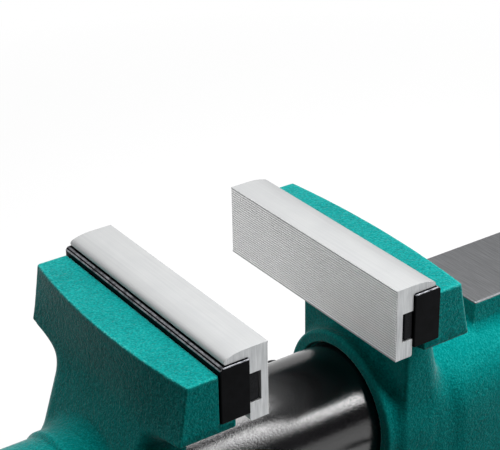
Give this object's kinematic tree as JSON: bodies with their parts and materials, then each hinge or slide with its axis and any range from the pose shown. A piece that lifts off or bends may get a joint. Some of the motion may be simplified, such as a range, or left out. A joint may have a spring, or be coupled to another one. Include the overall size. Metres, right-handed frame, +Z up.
{
  "type": "bench vise",
  "caption": "Bench vise with a round tube slide, swivel base with lock levers, bar handle, anvil flat and magnetic aluminium soft jaws over steel jaw plates.",
  "frame": {"origin": "on the swivel axis, at the underside of the base, where it rests on the bench", "axes": "+Z up; +X along the jaws; +Y along the slide, the way the moving jaw closes, with the handle at -Y"},
  "size_m": [0.1986, 0.3998, 0.2036],
  "materials": {
    "teal_enamel": "semi-gloss enamel on a cast surface",
    "drawn_tube_steel": "dark drawn tube, oiled",
    "black_oxide_steel": "black oxide",
    "turned_steel": "turned, bright",
    "extruded_aluminium": "extruded, matt satin",
    "magnet_strip": "bonded magnet strip, matt",
    "cast_bronze": "machined bronze",
    "black_plastic": "moulded, matt"
  },
  "bodies": {
    "base": {"swivel_base": "teal_enamel"},
    "fixed_body": {"fixed_body": "teal_enamel", "jaw_plate_fixed": "black_oxide_steel", "jaw_plate_screw_fixed_left": "black_oxide_steel", "jaw_plate_screw_fixed_right": "black_oxide_steel", "lead_nut": "cast_bronze", "nut_key": "turned_steel", "nut_key_bolt_front": "black_oxide_steel", "nut_key_bolt_rear": "black_oxide_steel", "lock_bolt_left": "turned_steel", "lock_bolt_right": "turned_steel", "lock_washer_left": "turned_steel", "lock_washer_right": "turned_steel"},
    "moving_jaw": {"moving_jaw": "teal_enamel", "slide_tube": "drawn_tube_steel", "slide_tube_screw": "black_oxide_steel", "tube_end_cap": "black_plastic", "thrust_washer": "cast_bronze", "jaw_plate_moving": "black_oxide_steel", "jaw_plate_screw_moving_left": "black_oxide_steel", "jaw_plate_screw_moving_right": "black_oxide_steel"},
    "lead_screw": {"lead_screw": "turned_steel", "retaining_collar": "black_oxide_steel", "collar_pin": "turned_steel"},
    "handle_bar": {"handle_bar": "turned_steel", "handle_knob_left": "turned_steel", "handle_knob_right": "turned_steel"},
    "lock_lever_left": {"lock_lever_left": "black_oxide_steel"},
    "lock_lever_right": {"lock_lever_right": "black_oxide_steel"},
    "soft_jaw_fixed": {"soft_jaw_fixed": "extruded_aluminium", "magnet_strip_fixed": "magnet_strip"},
    "soft_jaw_moving": {"soft_jaw_moving": "extruded_aluminium", "magnet_strip_moving": "magnet_strip"}
  },
  "joints": [
    {"name": "swivel", "type": "hinge", "parent": "base", "child": "fixed_body", "pos_m": [0, 0, 0.022], "axis": [0, 0, 1], "continuous": true},
    {"name": "jaw_slide", "type": "slide", "parent": "fixed_body", "child": "moving_jaw", "axis": [0, 1, 0], "range_m": [-0.066, 0.0657]},
    {"name": "screw_turn", "type": "hinge", "parent": "moving_jaw", "child": "lead_screw", "pos_m": [0, -0.2948, 0.105], "axis": [0, 1, 0], "range_deg": [-4750, 4729]},
    {"name": "bar_slide", "type": "slide", "parent": "lead_screw", "child": "handle_bar", "axis": [1, 0, 0], "range_m": [-0.066, 0.066]},
    {"name": "lock_lever_left_turn", "type": "hinge", "parent": "fixed_body", "child": "lock_lever_left", "pos_m": [-0.066, 0, 0.0469], "axis": [0, 0, 1], "range_deg": [-160, 20]},
    {"name": "lock_lever_right_turn", "type": "hinge", "parent": "fixed_body", "child": "lock_lever_right", "pos_m": [0.066, 0, 0.0469], "axis": [0, 0, 1], "range_deg": [-20, 160]},
    {"name": "soft_jaw_fixed_lift", "type": "slide", "parent": "fixed_body", "child": "soft_jaw_fixed", "axis": [0, 0, 1], "range_m": [0, 0.06]},
    {"name": "soft_jaw_moving_lift", "type": "slide", "parent": "moving_jaw", "child": "soft_jaw_moving", "axis": [0, 0, 1], "range_m": [0, 0.06]}
  ],
  "couplings": [
    {"joint": "jaw_slide", "follows": "screw_turn", "m_per_rad": 0.00079577}
  ]
}
